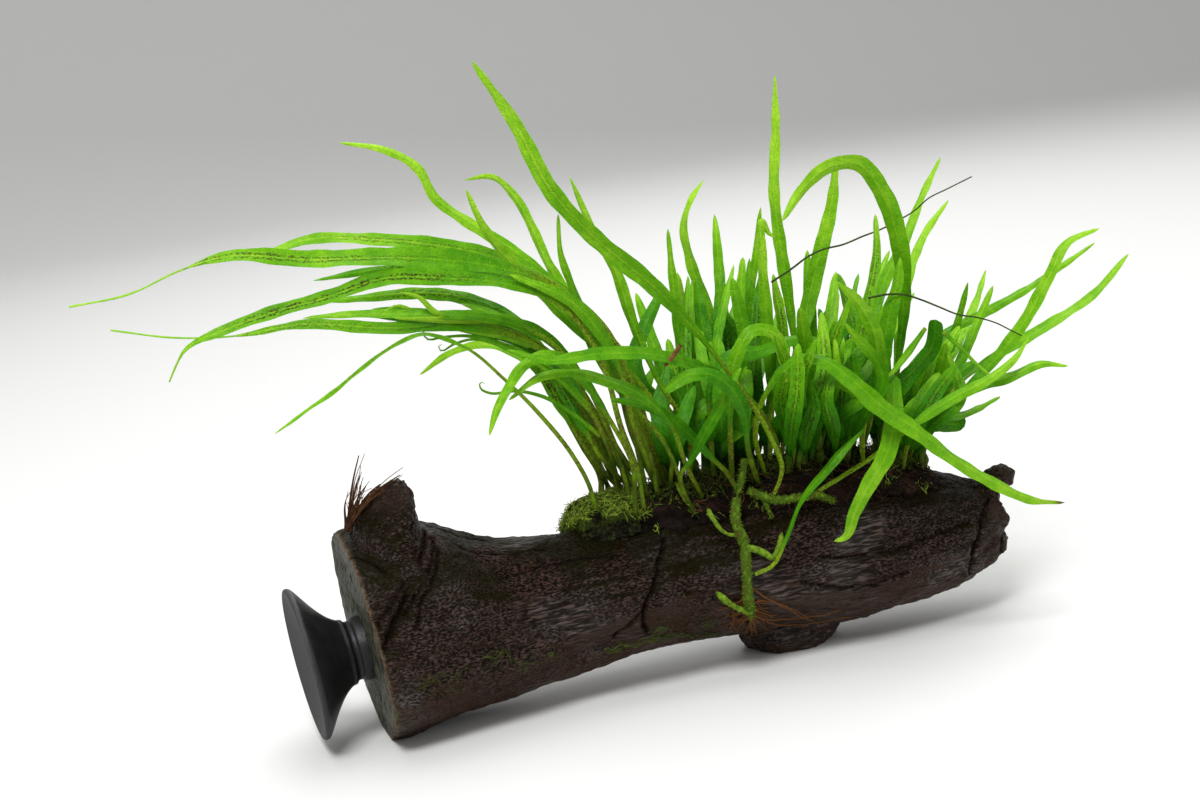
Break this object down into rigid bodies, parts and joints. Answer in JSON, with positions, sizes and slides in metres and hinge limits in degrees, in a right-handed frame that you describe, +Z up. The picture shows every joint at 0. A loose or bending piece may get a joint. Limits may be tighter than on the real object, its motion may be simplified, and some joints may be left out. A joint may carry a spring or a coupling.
{
  "type": "java fern on driftwood with a suction cup",
  "caption": "Narrow-leaved aquarium fern rooted along the top of a dark piece of driftwood, with a rubber suction cup on the sawn end to hold it to the glass.",
  "frame": {"origin": "on the surface the wood rests on, below the middle of the whole plant", "axes": "+X along the wood from the suction cup to the broken end, -Y towards the front, +Z up"},
  "size_m": [0.3267, 0.124, 0.1816],
  "materials": {
    "bark": "wet, dark, wrinkled bark with a satin gloss",
    "cup_rubber": "satin black rubber, dusty grey in the dish",
    "moss": "matte moss",
    "roots": "matte brown root felt",
    "rhizome": "fuzzy green rhizome",
    "leaf": "satin translucent leaf",
    "young_leaf": "satin translucent young leaf"
  },
  "bodies": {
    "root": {"driftwood_log": "bark", "upper_fork_stub": "bark", "lower_stub": "bark", "right_prong": "bark", "suction_cup": "cup_rubber", "moss_pad": "moss", "root_mat": "roots", "fibre_tuft": "roots", "rhizome_creeping": "rhizome", "rhizome_hanging": "rhizome", "leaf_tall_front": "leaf", "leaf_front_drooping": "leaf", "leaf_front_diagonal": "leaf", "leaf_long_left": "leaf", "leaf_upper_left": "leaf", "leaf_sori_left": "leaf", "leaf_low_left": "leaf", "leaf_middle_left": "leaf", "leaf_drooping_left": "leaf", "leaf_short_left": "leaf", "leaf_pale_left": "leaf", "leaf_arching_left": "leaf", "leaf_rising_left": "leaf", "leaf_back_left": "leaf", "leaf_yellowing": "leaf", "leaf_slim_left": "leaf", "leaf_front_level": "leaf", "leaf_left_hanging": "leaf", "leaf_front_low": "leaf", "leaf_front_slanting": "leaf", "leaf_front_upright": "leaf", "leaf_blunt_level": "leaf", "leaf_curled_tip": "leaf", "leaf_broad_arch": "leaf", "leaf_notched": "leaf", "leaf_tall_thin": "leaf", "leaf_upright_middle": "leaf", "leaf_arching_right": "leaf", "leaf_upright_tall": "leaf", "leaf_upright_right": "leaf", "leaf_rising_right": "leaf", "leaf_back_right": "leaf", "leaf_broad_right": "leaf", "leaf_front_bright": "leaf", "leaf_dark_cut": "leaf", "leaf_far_right": "leaf", "leaf_far_right_thin": "leaf", "leaf_far_right_low": "leaf", "leaf_low_right": "leaf", "leaf_from_creeping": "leaf", "leaf_from_hanging": "leaf", "leaf_pale_right": "leaf", "shoot_left": "young_leaf", "shoot_middle": "young_leaf", "shoot_right": "young_leaf", "shoot_front": "young_leaf", "shoot_far_right": "young_leaf"}
  },
  "joints": []
}
